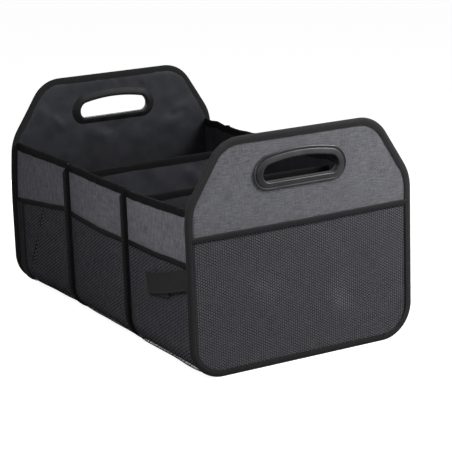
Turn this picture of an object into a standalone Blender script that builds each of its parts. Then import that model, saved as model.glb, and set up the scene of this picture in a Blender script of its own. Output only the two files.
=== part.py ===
# Collapsible boot organizer bag: two stiff end panels with hand holes, three soft
# sections between them, two dividers, mesh pockets all round and closing straps.
# Metres, +Z up. X runs along the bag, and the origin is the bottom centre.
import math

import bmesh
import bpy
from mathutils import Euler, Vector

# Overall sizes
BAG_LENGTH = 0.600  # over the end panels' bindings
BAG_WIDTH = 0.374  # over the side seams
PANEL_HEIGHT = 0.339
SHOULDER_HEIGHT = 0.2463
PANEL_TOP_WIDTH = 0.2566
WALL_HEIGHT = 0.235
DIVIDER_HEIGHT = 0.2195
MIDDLE_LENGTH = 0.198  # between the two ribs

# Corner radii
FOOT_RADIUS = 0.052
SHOULDER_RADIUS = 0.070
TOP_RADIUS = 0.055
WALL_FOOT_RADIUS = 0.038
BOARD_RADIUS = 0.006
ARC_STEP = math.radians(13)
ARC_STEPS_LEAST = 5
FOLD_STEPS = 6
SHARP_CORNER = 0.1  # least corner radius, as a share of the inset
WELD = 0.00001

# Cloth, tape and board thicknesses
GAP = 0.0003  # between pieces that touch
PLY = 0.0006
SHELL = 0.0008
MESH = 0.0005
TAPE = 0.0007
WEBBING = 0.0013
STIFFENER = 0.0020
BASE_BOARD = 0.0030

# Seams and bindings
SEAM = 0.011  # how far a bound seam stands out
TAPE_REACH = 0.0002  # how far a leg overlaps the wall line before it is trimmed
TOP_TAPE = 0.012
DIVIDER_TAPE = 0.010
RIM = 0.0145  # flat border of an end panel's plies
RIM_SLOPE = 0.0025
BASE_LIFT = 0.002
RIB_TIP = 0.005  # how far a rib's folded end stands above the wall

# Pockets
PANEL_POCKET_TOP = 0.2035
SIDE_POCKET_TOP = 0.160
SIDE_POCKET_UNDER = 0.018  # how far the mesh runs on under the base
POCKET_BAND = 0.0105

# Hand hole and its two-piece grommet
HOLE_WIDTH = 0.123
HOLE_DROP = 0.0384  # from the panel's top down to the hole's crown
HOLE_HEIGHT = 0.0361
HOLE_ARCH = 0.0100  # how far its crown stands above its shoulders
HOLE_RADIUS = 0.0128
CROWN_RADIUS = 0.240
FLANGE_SIDE = 0.0145  # the ring's width beside, below and over the hole
FLANGE_BELOW = 0.0122
FLANGE_OVER = 0.0107
FLANGE_ARCH = 0.0123
FLANGE_RADIUS = 0.021
FLANGE_BASE = 0.0015
FLANGE_RISE = 0.0040
FLANGE_STEP = 0.0028
FLANGE_ROUND = 0.0012
SLEEVE_WALL = 0.0020
SLEEVE_LENGTH = 0.0052  # inwards from the panel's middle plane
INNER_RISE = 0.0026

# Base boards, dividers and closing straps
BOARD_SIDE_GAP = 0.003
BOARD_END_GAP = 0.0012
DIVIDER_BOARD_INSET = 0.003
STRAP_WIDTH = 0.030
STRAP_LENGTH = 0.127
STRAP_FOLD = 0.058
STRAP_HEIGHT = 0.1415
STRAP_DROOP = math.radians(14.3)
STRIP_WIDTH = 0.022
STRIP_TOP = 0.145
STRIP_END_GAP = 0.004
STRIP_WRAP = math.radians(40)

# Levels across an end panel, from its middle plane, outwards positive
OUTER_PLY = GAP / 2 + PLY / 2
POCKET_PLY = OUTER_PLY + PLY / 2 + GAP + MESH / 2
OUTER_LEG_IN = POCKET_PLY + MESH / 2 + GAP
OUTER_LEG_OUT = OUTER_LEG_IN + TAPE
FLANGE_NEAR = GAP / 2 + PLY + GAP
FLANGE_FAR = FLANGE_NEAR + PLY
INNER_LEG_IN = FLANGE_FAR + GAP
INNER_LEG_OUT = INNER_LEG_IN + TAPE
OUTER_FACE = STIFFENER / 2 + GAP + PLY / 2
OUTER_SKIN = OUTER_FACE + PLY / 2
POCKET_FACE = OUTER_SKIN + GAP + MESH / 2
RING_SEAT = OUTER_SKIN + GAP

# Places worked out from the sizes
HALF_WIDTH = BAG_WIDTH / 2
HOLE_CROWN = PANEL_HEIGHT - HOLE_DROP
HOLE_BOTTOM = HOLE_CROWN - HOLE_HEIGHT
FLANGE_WIDTH = HOLE_WIDTH + 2 * FLANGE_SIDE
FLANGE_CROWN = HOLE_CROWN + FLANGE_OVER
FLANGE_BOTTOM = HOLE_BOTTOM - FLANGE_BELOW
PANEL_X = BAG_LENGTH / 2 - OUTER_LEG_OUT
RIB_X = MIDDLE_LENGTH / 2
WALL_Y = HALF_WIDTH - SEAM
WALL_END = PANEL_X - INNER_LEG_OUT - GAP
LINING_IN = SHELL + GAP + PLY  # from the shell's outer face to the lining's inner face
BASE_TOP = BASE_LIFT + LINING_IN
RIB_HALF = GAP / 2 + PLY + GAP + TAPE
RIB_SLOT = GAP / 2 + PLY + GAP
TAPE_WALL = SEAM - GAP  # width of a leg that stops at the wall
FLANGE_TOP = WALL_HEIGHT - TOP_TAPE
DIVIDER_HALF = STIFFENER / 2 + GAP + PLY
SEAM_EDGE = TAPE + GAP  # from a binding's outer edge to the cloth inside it


# Collections, materials and small helpers

def new_collection(name):
    collection = bpy.data.collections.new(name)
    bpy.context.scene.collection.children.link(collection)
    return collection


def new_material(name, colour, roughness, metallic=0.0):
    material = bpy.data.materials.new(name)
    material.use_nodes = True
    shader = material.node_tree.nodes["Principled BSDF"]
    shader.inputs["Base Color"].default_value = (*colour, 1.0)
    shader.inputs["Roughness"].default_value = roughness
    shader.inputs["Metallic"].default_value = metallic
    material.diffuse_color = (*colour, 1.0)
    return material


def place_in(obj, collection, material=None, parent=None):
    collection.objects.link(obj)
    if material:
        obj.data.materials.append(material)
    if parent:
        obj.parent = parent
    return obj


def hide_tool(obj):
    obj.hide_render = True
    obj.display_type = "WIRE"
    return obj


# Outlines are lists of (u, v) points, counter-clockwise

def inset_corners(corners, inset):
    # Moves each side of a convex outline inwards and shrinks its corner radii to suit.
    moved = []
    count = len(corners)
    for i, (u, v, radius) in enumerate(corners):
        here = Vector((u, v))
        before = (here - Vector(corners[i - 1][:2])).normalized()
        after = (Vector(corners[(i + 1) % count][:2]) - here).normalized()
        normal_before = Vector((-before.y, before.x))
        normal_after = Vector((-after.y, after.x))
        shift = (normal_before + normal_after) * (inset / (1 + normal_before.dot(normal_after)))
        moved.append((u + shift.x, v + shift.y, max(radius - inset, inset * SHARP_CORNER)))
    return moved


def rounded(corners):
    points = []
    count = len(corners)
    for i, (u, v, radius) in enumerate(corners):
        here = Vector((u, v))
        back = (Vector(corners[i - 1][:2]) - here).normalized()
        ahead = (Vector(corners[(i + 1) % count][:2]) - here).normalized()
        turn = math.pi - back.angle(ahead)
        run = radius * math.tan(turn / 2)
        centre = here + (back + ahead).normalized() * (radius / math.cos(turn / 2))
        start = here + back * run - centre
        steps = max(ARC_STEPS_LEAST, math.ceil(turn / ARC_STEP))
        for step in range(steps + 1):
            angle = turn * step / steps
            cosine, sine = math.cos(angle), math.sin(angle)
            points.append((centre.x + start.x * cosine - start.y * sine,
                           centre.y + start.x * sine + start.y * cosine))
    return points


def panel_outline(inset):
    half_top = PANEL_TOP_WIDTH / 2
    corners = [
        (-HALF_WIDTH, 0, FOOT_RADIUS), (HALF_WIDTH, 0, FOOT_RADIUS),
        (HALF_WIDTH, SHOULDER_HEIGHT, SHOULDER_RADIUS), (half_top, PANEL_HEIGHT, TOP_RADIUS),
        (-half_top, PANEL_HEIGHT, TOP_RADIUS), (-HALF_WIDTH, SHOULDER_HEIGHT, SHOULDER_RADIUS),
    ]
    return rounded(inset_corners(corners, inset))


def arched_outline(width, bottom, crown, arch, radius, grow=0.0):
    half = width / 2
    shoulder = crown - arch
    corners = [
        (-half, bottom, radius), (half, bottom, radius), (half, shoulder, radius),
        (0, crown, CROWN_RADIUS), (-half, shoulder, radius),
    ]
    return rounded(inset_corners(corners, -grow))


def hole_outline(grow=0.0):
    return arched_outline(HOLE_WIDTH, HOLE_BOTTOM, HOLE_CROWN, HOLE_ARCH, HOLE_RADIUS, grow)


def flange_outline(grow=0.0):
    return arched_outline(FLANGE_WIDTH, FLANGE_BOTTOM, FLANGE_CROWN, FLANGE_ARCH, FLANGE_RADIUS, grow)


def foot_arc(half, bottom, radius, first, last):
    # Points round the +Y foot corner, from angle first to last below the horizontal.
    steps = max(ARC_STEPS_LEAST, math.ceil(abs(last - first) / ARC_STEP))
    points = []
    for step in range(steps + 1):
        angle = first + (last - first) * step / steps
        points.append((half - radius + radius * math.cos(angle),
                       bottom + radius - radius * math.sin(angle)))
    return points


def tub_path(half, bottom, radius, top):
    # Down the -Y wall, round the foot, over the base and up the +Y wall.
    right = foot_arc(half, bottom, radius, math.pi / 2, 0)
    left = [(-u, v) for u, v in reversed(right)]
    return [(-half, top)] + left + right + [(half, top)]


def tub_band(half, bottom, radius, top, wall):
    outer = tub_path(half, bottom, radius, top)
    inner = tub_path(half - wall, bottom + wall, radius - wall, top)
    return outer + inner[::-1]


# Solids

TURNS = {
    "x": Euler((math.pi / 2, 0, math.pi / 2)),
    "y": Euler((math.pi / 2, 0, 0)),
    "z": Euler((0, 0, 0)),
}
NORMALS = {"x": Vector((1, 0, 0)), "y": Vector((0, -1, 0)), "z": Vector((0, 0, 1))}


def extrusion(name, outlines, axis, low, high, collection, material=None, parent=None, rounding=0.0):
    # A flat outline, with any further outlines as holes, between two levels on an axis.
    curve = bpy.data.curves.new(name, "CURVE")
    curve.dimensions = "2D"
    curve.fill_mode = "BOTH"
    curve.extrude = (high - low) / 2 - rounding
    curve.bevel_depth = rounding
    curve.offset = -rounding
    curve.bevel_resolution = 1
    for outline in outlines:
        spline = curve.splines.new("POLY")
        spline.points.add(len(outline) - 1)
        for point, (u, v) in zip(spline.points, outline):
            point.co = (u, v, 0, 1)
        spline.use_cyclic_u = True
    obj = bpy.data.objects.new(name, curve)
    obj.rotation_euler = TURNS[axis]
    middle = (low + high) / 2
    obj.location = NORMALS[axis] * (-middle if axis == "y" else middle)
    return place_in(obj, collection, material, parent)


def as_mesh(obj, collection):
    # Turns a curve into a mesh with welded caps, so that it can be cut or joined.
    name, parent, material = obj.name, obj.parent, obj.active_material
    location, rotation = obj.location.copy(), obj.rotation_euler.copy()
    bpy.context.view_layer.update()
    evaluated = obj.evaluated_get(bpy.context.evaluated_depsgraph_get())
    mesh = bpy.data.meshes.new_from_object(evaluated)
    bpy.data.objects.remove(obj)
    edit = bmesh.new()
    edit.from_mesh(mesh)
    bmesh.ops.remove_doubles(edit, verts=edit.verts, dist=WELD)
    bmesh.ops.recalc_face_normals(edit, faces=edit.faces)
    edit.to_mesh(mesh)
    edit.free()
    mesh.materials.clear()
    solid = bpy.data.objects.new(name, mesh)
    solid.location, solid.rotation_euler = location, rotation
    return place_in(solid, collection, material, parent)


def solid_extrusion(name, outlines, axis, low, high, collection, material=None, parent=None, rounding=0.0):
    curve = extrusion(name, outlines, axis, low, high, collection, material, parent, rounding)
    return as_mesh(curve, collection)


def tool_extrusion(name, outlines, axis, low, high, parent=None, rounding=0.0):
    return hide_tool(solid_extrusion(name, outlines, axis, low, high, tools, None, parent, rounding))


def combine(obj, tool, operation):
    modifier = obj.modifiers.new(tool.name, "BOOLEAN")
    modifier.operation = operation
    modifier.solver = "EXACT"
    modifier.object = tool
    return obj


def new_frame(name, location, turn):
    frame = bpy.data.objects.new(name, None)
    frame.empty_display_size = RIM
    frame.location = location
    frame.rotation_euler = (0, 0, turn)
    parts.objects.link(frame)
    return frame


# End panels, each built in its own frame: X outwards from its middle plane

def cut_hand_hole(edit, sheet, level):
    # Swaps a flat face for triangles between its border and the hand hole.
    border = list(sheet.edges)
    bmesh.ops.delete(edit, geom=[sheet], context="FACES_ONLY")
    ring = [edit.verts.new((level, u, v)) for u, v in hole_outline(SLEEVE_WALL + GAP)]
    ring_edges = [edit.edges.new((ring[i - 1], ring[i])) for i in range(len(ring))]
    bmesh.ops.triangle_fill(edit, edges=border + ring_edges, use_beauty=True, normal=(1, 0, 0))
    bmesh.ops.recalc_face_normals(edit, faces=edit.faces)


def dished_ply(name, frame, material, rim, face, thickness, top=None):
    # A ply whose border is pinched into the binding and whose middle covers the board.
    mesh = bpy.data.meshes.new(name)
    edit = bmesh.new()
    points = [edit.verts.new((rim, u, v)) for u, v in panel_outline(SEAM_EDGE)]
    sheet = edit.faces.new(points)
    sheet.normal_update()
    for step in (RIM - SEAM_EDGE, RIM_SLOPE):
        bmesh.ops.inset_region(edit, faces=[sheet], thickness=step, use_boundary=True, use_even_offset=True)
    for vert in sheet.verts:
        vert.co.x = face
    if top:
        bmesh.ops.bisect_plane(edit, geom=edit.verts[:] + edit.edges[:] + edit.faces[:],
                               plane_co=(0, 0, top), plane_no=(0, 0, 1), clear_outer=True)
    else:
        cut_hand_hole(edit, sheet, face)
    edit.to_mesh(mesh)
    edit.free()
    ply = place_in(bpy.data.objects.new(name, mesh), parts, material, frame)
    wall = ply.modifiers.new("Solidify", "SOLIDIFY")
    wall.thickness = thickness
    wall.offset = 0
    wall.use_even_offset = True
    return ply


def panel_binding(name, frame):
    ring = solid_extrusion(name, [panel_outline(0), panel_outline(TAPE_WALL + TAPE_REACH)], "x",
                           -INNER_LEG_OUT, OUTER_LEG_OUT, parts, tape_black, frame)
    # Below the wall's top, the inner leg stops at the section that runs out of the seam.
    tub = tool_extrusion(
        name + "_tub",
        [tub_path(WALL_Y + GAP, BASE_LIFT - GAP, WALL_FOOT_RADIUS + GAP, WALL_HEIGHT + SEAM_EDGE + GAP)],
        "x", -INNER_LEG_OUT - SEAM, -FLANGE_NEAR, frame)
    combine(ring, tub, "DIFFERENCE")
    slot = tool_extrusion(name + "_slot", [panel_outline(TAPE), panel_outline(SEAM + RIM)], "x",
                          -INNER_LEG_IN, OUTER_LEG_IN, frame)
    return combine(ring, slot, "DIFFERENCE")


def grommet(side, frame):
    opening = tool_extrusion(side + "_hand_hole", [hole_outline()], "x", -SEAM, SEAM, frame)
    outer = solid_extrusion(side + "_handle_outer_ring", [flange_outline()], "x",
                            RING_SEAT, RING_SEAT + FLANGE_BASE, parts, dark_plastic, frame)
    raised = tool_extrusion(side + "_ring_raised", [flange_outline(-FLANGE_STEP)], "x",
                            RING_SEAT + GAP, RING_SEAT + FLANGE_RISE, frame, FLANGE_ROUND)
    sleeve = tool_extrusion(side + "_ring_sleeve", [hole_outline(SLEEVE_WALL)], "x",
                            -SLEEVE_LENGTH, RING_SEAT + FLANGE_BASE / 2, frame)
    combine(outer, raised, "UNION")
    combine(outer, sleeve, "UNION")
    combine(outer, opening, "DIFFERENCE")
    extrusion(side + "_handle_inner_ring", [flange_outline(), hole_outline(SLEEVE_WALL + GAP)], "x",
              -RING_SEAT - INNER_RISE, -RING_SEAT, parts, dark_plastic, frame)


def end_panel(side, sign):
    turn = 0 if sign > 0 else math.pi
    frame = new_frame(side + "_panel_frame", (sign * PANEL_X, 0, 0), turn)
    dished_ply(side + "_panel_fabric", frame, heather, OUTER_PLY, OUTER_FACE, PLY)
    dished_ply(side + "_panel_lining", frame, lining_black, -OUTER_PLY, -OUTER_FACE, PLY)
    board_inset = RIM + RIM_SLOPE + GAP
    extrusion(side + "_panel_board", [panel_outline(board_inset), hole_outline(SLEEVE_WALL + GAP)], "x",
              -STIFFENER / 2, STIFFENER / 2, parts, board_grey, frame)
    panel_binding(side + "_panel_binding", frame)
    dished_ply(side + "_mesh_pocket", frame, mesh_grey, POCKET_PLY, POCKET_FACE, MESH, PANEL_POCKET_TOP)
    band_in = POCKET_FACE + MESH / 2 + GAP
    lip = PANEL_POCKET_TOP + GAP
    band_profile = [
        (band_in, lip + TAPE - POCKET_BAND), (band_in + TAPE, lip + TAPE - POCKET_BAND),
        (band_in + TAPE, lip + TAPE), (OUTER_SKIN + GAP, lip + TAPE),
        (OUTER_SKIN + GAP, lip), (band_in, lip),
    ]
    band_half = HALF_WIDTH - SEAM - GAP
    extrusion(side + "_pocket_band", [band_profile], "y", -band_half, band_half, parts, tape_black, frame)
    grommet(side, frame)


# Soft sections

def seam_flange(name, low, high):
    # A seam allowance turned out round the end of a section.
    outer = tub_path(HALF_WIDTH - SEAM_EDGE, SEAM_EDGE, FOOT_RADIUS - SEAM_EDGE, FLANGE_TOP)
    root = SHELL / 2
    inner = tub_path(WALL_Y - root, BASE_LIFT + root, WALL_FOOT_RADIUS - root, FLANGE_TOP)
    return tool_extrusion(name, [outer + inner[::-1]], "x", low, high)


def section(name, low, high):
    shell = solid_extrusion(
        name + "_section_shell",
        [tub_band(WALL_Y, BASE_LIFT, WALL_FOOT_RADIUS, WALL_HEIGHT, SHELL)],
        "x", low + GAP, high - GAP, parts, heather)
    combine(shell, seam_flange(name + "_seam_low", low, low + PLY), "UNION")
    combine(shell, seam_flange(name + "_seam_high", high - PLY, high), "UNION")
    inset = SHELL + GAP
    extrusion(name + "_section_lining",
              [tub_band(WALL_Y - inset, BASE_LIFT + inset, WALL_FOOT_RADIUS - inset, WALL_HEIGHT, PLY)],
              "x", low + GAP, high - GAP, parts, lining_black)


def wall_strip(side_sign, offset, thickness, top, last_angle, under):
    # Outline of a sheet that lies on a wall from a top level down round its foot.
    def run(off):
        half, bottom, radius = WALL_Y + off, BASE_LIFT - off, WALL_FOOT_RADIUS + off
        points = [(half, top)] + foot_arc(half, bottom, radius, 0, last_angle)
        if under:
            points.append((half - radius - under, bottom))
        return points
    inner, outer = run(offset), run(offset + thickness)
    return [(side_sign * u, v) for u, v in inner + outer[::-1]]


def wall_trim(name, side_sign, low, high):
    # The bound top edge, the mesh pocket and its elastic band on one wall of a section.
    outside, inside = WALL_Y + GAP + TAPE, WALL_Y - LINING_IN - GAP - TAPE
    crest, hem = WALL_HEIGHT + GAP + TAPE, WALL_HEIGHT + GAP + TAPE - TOP_TAPE
    cap = [
        (outside, hem), (outside, crest), (inside, crest), (inside, hem),
        (inside + TAPE, hem), (inside + TAPE, crest - TAPE), (outside - TAPE, crest - TAPE),
        (outside - TAPE, hem),
    ]
    extrusion(name + "_top_binding", [[(side_sign * u, v) for u, v in cap]], "x", low, high, parts, tape_black)
    mesh_outline = wall_strip(side_sign, GAP, MESH, SIDE_POCKET_TOP, math.pi / 2, SIDE_POCKET_UNDER)
    extrusion(name + "_mesh_pocket", [mesh_outline], "x", low, high, parts, mesh_grey)
    wall = WALL_Y + GAP
    band_in, band_out = wall + MESH + GAP, wall + MESH + GAP + TAPE
    lip = SIDE_POCKET_TOP + GAP
    band = [
        (band_out, lip + TAPE - POCKET_BAND), (band_out, lip + TAPE), (wall, lip + TAPE),
        (wall, lip), (band_in, lip), (band_in, lip + TAPE - POCKET_BAND),
    ]
    extrusion(name + "_pocket_band", [[(side_sign * u, v) for u, v in band]], "x", low, high, parts, tape_black)


def rib(name, middle):
    # Tape folded over the seam allowances of two neighbouring sections.
    outer = tub_path(HALF_WIDTH, 0, FOOT_RADIUS, WALL_HEIGHT + RIB_TIP)
    inner = tub_path(WALL_Y + GAP, BASE_LIFT - GAP, WALL_FOOT_RADIUS + GAP, WALL_HEIGHT + RIB_TIP)
    fin = solid_extrusion(name + "_rib_binding", [outer + inner[::-1]], "x",
                          middle - RIB_HALF, middle + RIB_HALF, parts, tape_black)
    slot_outer = tub_path(HALF_WIDTH - TAPE, TAPE, FOOT_RADIUS - TAPE, FLANGE_TOP + GAP)
    slot_inner = tub_path(WALL_Y - SHELL, BASE_LIFT + SHELL, WALL_FOOT_RADIUS - SHELL, FLANGE_TOP + GAP)
    slot = tool_extrusion(name + "_rib_slot", [slot_outer + slot_inner[::-1]], "x",
                          middle - RIB_SLOT, middle + RIB_SLOT)
    combine(fin, slot, "DIFFERENCE")


# Inside

def divider(name, middle):
    half = WALL_Y - LINING_IN - GAP
    bottom = BASE_TOP + GAP
    radius = WALL_FOOT_RADIUS - LINING_IN - GAP
    top = DIVIDER_HEIGHT - TAPE - GAP
    inset = DIVIDER_BOARD_INSET
    board = tub_path(half - inset, bottom + inset, radius - inset, top - inset)
    extrusion(name + "_divider_board", [board], "x", middle - STIFFENER / 2, middle + STIFFENER / 2,
              parts, board_grey)
    ply = tub_path(half, bottom, radius, top)
    for face, sign in (("rear", -1), ("front", 1)):
        near, far = middle + sign * (DIVIDER_HALF - PLY), middle + sign * DIVIDER_HALF
        extrusion(name + "_divider_" + face + "_ply", [ply], "x", min(near, far), max(near, far),
                  parts, lining_black)
    outside = DIVIDER_HALF + GAP + TAPE
    hem = DIVIDER_HEIGHT - DIVIDER_TAPE
    inside = outside - TAPE
    cap = [
        (middle - outside, hem), (middle - inside, hem), (middle - inside, DIVIDER_HEIGHT - TAPE),
        (middle + inside, DIVIDER_HEIGHT - TAPE), (middle + inside, hem), (middle + outside, hem),
        (middle + outside, DIVIDER_HEIGHT), (middle - outside, DIVIDER_HEIGHT),
    ]
    extrusion(name + "_divider_binding", [cap], "y", -half, half, parts, tape_black)


def base_board(name, low, high):
    half = WALL_Y - WALL_FOOT_RADIUS - BOARD_SIDE_GAP
    corners = [(low, -half), (high, -half), (high, half), (low, half)]
    outline = rounded([(u, v, BOARD_RADIUS) for u, v in corners])
    bottom = BASE_TOP + GAP
    extrusion(name + "_base_board", [outline], "z", bottom, bottom + BASE_BOARD, parts, lining_black)


# Closing straps

def closing_strap(name, turn):
    # Webbing sewn into the seam by the front panel, its free end folded back on itself.
    lay = WALL_Y + GAP + MESH + GAP + TAPE + GAP
    length, fold, web, slit = STRAP_LENGTH, STRAP_FOLD, WEBBING, GAP * 2
    bend = web + slit / 2
    loop = []
    for step in range(FOLD_STEPS + 1):
        angle = math.pi * step / FOLD_STEPS
        loop.append((-length + bend - bend * math.sin(angle), bend * (math.cos(angle) - 1)))
    inner_bend = slit / 2
    gap_loop = []
    for step in range(FOLD_STEPS + 1):
        angle = math.pi * (FOLD_STEPS - step) / FOLD_STEPS
        gap_loop.append((-length + bend - inner_bend * math.sin(angle),
                         inner_bend * math.cos(angle) - bend))
    outline = [(0, 0)] + loop + [(-length + fold, -2 * bend), (-length + fold, -2 * bend + web)]
    outline += gap_loop + [(0, -web)]
    frame = new_frame(name + "_strap_frame", (0, 0, 0), turn)
    strap = extrusion(name + "_closing_strap", [outline], "z", -STRAP_WIDTH / 2, STRAP_WIDTH / 2,
                      parts, webbing_black, frame)
    slack = math.sin(STRAP_DROOP) * STRAP_WIDTH / 2
    strap.rotation_euler = (0, -STRAP_DROOP, 0)
    strap.location = (WALL_END - slack, -lay, STRAP_HEIGHT)


def loop_strip(name, side_sign, x_sign):
    # A flat strip that the strap's end closes on, sewn by the seam of the far panel.
    outline = wall_strip(side_sign, GAP + MESH + GAP, WEBBING, STRIP_TOP, STRIP_WRAP, 0)
    far = x_sign * (WALL_END - STRIP_END_GAP)
    near = x_sign * (WALL_END - STRIP_END_GAP - STRIP_WIDTH)
    extrusion(name + "_loop_strip", [outline], "x", min(near, far), max(near, far), parts, webbing_black)


for old in list(bpy.data.objects):
    bpy.data.objects.remove(old)

parts = new_collection("organizer_bag")
tools = new_collection("organizer_bag_cutters")

heather = new_material("heather_cloth", (0.115, 0.115, 0.125), 0.92)
lining_black = new_material("coated_lining", (0.020, 0.020, 0.022), 0.60)
mesh_grey = new_material("mesh_cloth", (0.045, 0.045, 0.050), 0.85)
tape_black = new_material("binding_tape", (0.017, 0.017, 0.016), 0.80)
webbing_black = new_material("webbing", (0.015, 0.015, 0.014), 0.75)
board_grey = new_material("board", (0.200, 0.190, 0.180), 0.80)
dark_plastic = new_material("grommet_plastic", (0.035, 0.036, 0.040), 0.35)

end_panel("front", 1)
end_panel("rear", -1)

seam_gap = GAP / 2
panel_end = PANEL_X - FLANGE_NEAR
spans = {
    "rear": (-panel_end, -RIB_X - seam_gap),
    "middle": (-RIB_X + seam_gap, RIB_X - seam_gap),
    "front": (RIB_X + seam_gap, panel_end),
}
trim_gap = RIB_HALF + GAP
trims = {
    "rear": (-WALL_END, -RIB_X - trim_gap),
    "middle": (-RIB_X + trim_gap, RIB_X - trim_gap),
    "front": (RIB_X + trim_gap, WALL_END),
}
board_gap = DIVIDER_HALF + BOARD_END_GAP
panel_face = PANEL_X - OUTER_SKIN - BOARD_END_GAP
boards = {
    "rear": (-panel_face, -RIB_X - board_gap),
    "middle": (-RIB_X + board_gap, RIB_X - board_gap),
    "front": (RIB_X + board_gap, panel_face),
}
for place, (low, high) in spans.items():
    section(place, low, high)
    base_board(place, *boards[place])
    wall_trim(place + "_left", -1, *trims[place])
    wall_trim(place + "_right", 1, *trims[place])

rib("rear", -RIB_X)
rib("front", RIB_X)
divider("rear", -RIB_X)
divider("front", RIB_X)

closing_strap("left", 0)
closing_strap("right", math.pi)
loop_strip("left", -1, -1)
loop_strip("right", 1, 1)
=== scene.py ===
import math
import bpy
import numpy as np
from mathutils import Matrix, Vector


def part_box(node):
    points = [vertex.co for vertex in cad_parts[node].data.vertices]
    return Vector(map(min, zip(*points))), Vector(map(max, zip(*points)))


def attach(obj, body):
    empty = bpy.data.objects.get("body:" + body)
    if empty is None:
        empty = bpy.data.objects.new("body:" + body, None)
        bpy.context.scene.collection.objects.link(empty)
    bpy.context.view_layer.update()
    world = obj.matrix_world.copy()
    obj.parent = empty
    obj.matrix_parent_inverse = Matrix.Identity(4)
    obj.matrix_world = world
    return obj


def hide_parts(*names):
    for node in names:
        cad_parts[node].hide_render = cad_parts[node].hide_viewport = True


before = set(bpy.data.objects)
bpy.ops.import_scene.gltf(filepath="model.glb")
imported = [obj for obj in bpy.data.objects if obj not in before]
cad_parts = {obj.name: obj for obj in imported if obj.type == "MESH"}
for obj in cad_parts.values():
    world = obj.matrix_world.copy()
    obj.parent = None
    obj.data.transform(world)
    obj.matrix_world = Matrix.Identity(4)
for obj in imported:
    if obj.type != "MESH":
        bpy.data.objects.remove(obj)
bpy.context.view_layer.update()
scene = bpy.context.scene
print("frame loaded:", len(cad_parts), "nodes")


# Camera, lamps and floor

viewCamera = {
    "place": (2.27459, -1.23540, 0.81074),  # metres
    "turn": (75.2956, 1.9258, 60.1224),  # degrees about X, Y and Z
    "lens": 136.055,
    "sensor": 36.0,
}
lamps = {  # place, what it points at, size in metres, power in watts
    "keySoftbox": ((0.74, 0.75, 0.92), (0.10, 0.0, 0.15), (0.50, 0.50), 21.6),
    "leftSoftbox": ((0.36, -0.57, 0.57), (0.12, -0.17, 0.12), (0.25, 0.25), 2.25),
    "rearSoftbox": ((-1.0, 0.10, 0.26), (-0.3, 0.0, 0.15), (0.5, 0.5), 5.0),
}
studio = {
    "fill": (0.112, 0.114, 0.121),  # light from all round
    "floorColour": (0.42, 0.42, 0.42),
    "floorGlow": 0.93,  # only the camera sees this
    "floorSize": 24.0,
}


def aim(place, target):
    return (Vector(target) - Vector(place)).to_track_quat("-Z", "Y").to_euler()


def addCamera():
    bpy.ops.object.camera_add(location=viewCamera["place"])
    camera = bpy.context.object
    camera.name = "photoCamera"
    camera.rotation_euler = [math.radians(a) for a in viewCamera["turn"]]
    camera.data.lens = viewCamera["lens"]
    camera.data.sensor_width = viewCamera["sensor"]
    camera.data.clip_end = 60
    scene.camera = camera


def addLamps():
    for name, (place, target, size, power) in lamps.items():
        bpy.ops.object.light_add(type="AREA", location=place, rotation=aim(place, target))
        lamp = bpy.context.object
        lamp.name = name
        lamp.data.shape = "RECTANGLE"
        lamp.data.size, lamp.data.size_y = size
        lamp.data.energy = power


def addWorld():
    world = bpy.data.worlds.new("studioAir")
    scene.world = world
    world.use_nodes = True
    tree = world.node_tree
    path = tree.nodes.new("ShaderNodeLightPath")
    seen = join(tree, "MAXIMUM", path.outputs["Is Camera Ray"], path.outputs["Is Glossy Ray"])
    seen = join(tree, "MAXIMUM", seen, path.outputs["Is Transmission Ray"])
    air = blend(tree, seen, (*studio["fill"], 1), (1, 1, 1, 1))
    tree.links.new(air, tree.nodes["Background"].inputs["Color"])


def addFloor():
    bpy.ops.object.select_all(action="DESELECT")
    bpy.ops.mesh.primitive_plane_add(size=studio["floorSize"], location=(0, 0, 0))
    floor = bpy.context.object
    floor.name = "studioFloor"
    paper, tree, shader = newMaterial("floorPaper")
    setInputs(shader, {"Base Color": (*studio["floorColour"], 1), "Roughness": 0.9,
                       "Specular IOR Level": 0.0, "Emission Color": (1, 1, 1, 1)})
    path = tree.nodes.new("ShaderNodeLightPath")
    glow = times(tree, path.outputs["Is Camera Ray"], studio["floorGlow"])
    tree.links.new(glow, shader.inputs["Emission Strength"])
    floor.data.materials.append(paper)


# Node helpers

def newMaterial(name):
    material = bpy.data.materials.new(name)
    material.use_nodes = True
    return material, material.node_tree, material.node_tree.nodes["Principled BSDF"]


def setInputs(node, values):
    for label, value in values.items():
        node.inputs[label].default_value = value


def join(tree, operation, first, second=None, third=None):
    # A Math node. Each value is a socket or a number.
    node = tree.nodes.new("ShaderNodeMath")
    node.operation = operation
    for socket, value in zip(node.inputs, (first, second, third)):
        if value is None:
            continue
        if isinstance(value, (int, float)):
            socket.default_value = value
        else:
            tree.links.new(value, socket)
    return node.outputs[0]


def times(tree, first, second):
    return join(tree, "MULTIPLY", first, second)


def plus(tree, first, second):
    return join(tree, "ADD", first, second)


def axesOf(tree, vector):
    node = tree.nodes.new("ShaderNodeSeparateXYZ")
    tree.links.new(vector, node.inputs[0])
    return node.outputs


def blend(tree, factor, first, second, kind="MIX"):
    # A Mix node for colours. Each value is a socket or a colour.
    node = tree.nodes.new("ShaderNodeMix")
    node.data_type = "RGBA"
    node.blend_type = kind
    for label, value in (("Factor", factor), ("A", first), ("B", second)):
        sockets = [s for s in node.inputs if s.name == label and s.enabled]
        if isinstance(value, (int, float, tuple)):
            sockets[0].default_value = value
        else:
            tree.links.new(value, sockets[0])
    return [s for s in node.outputs if s.enabled][0]


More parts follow.
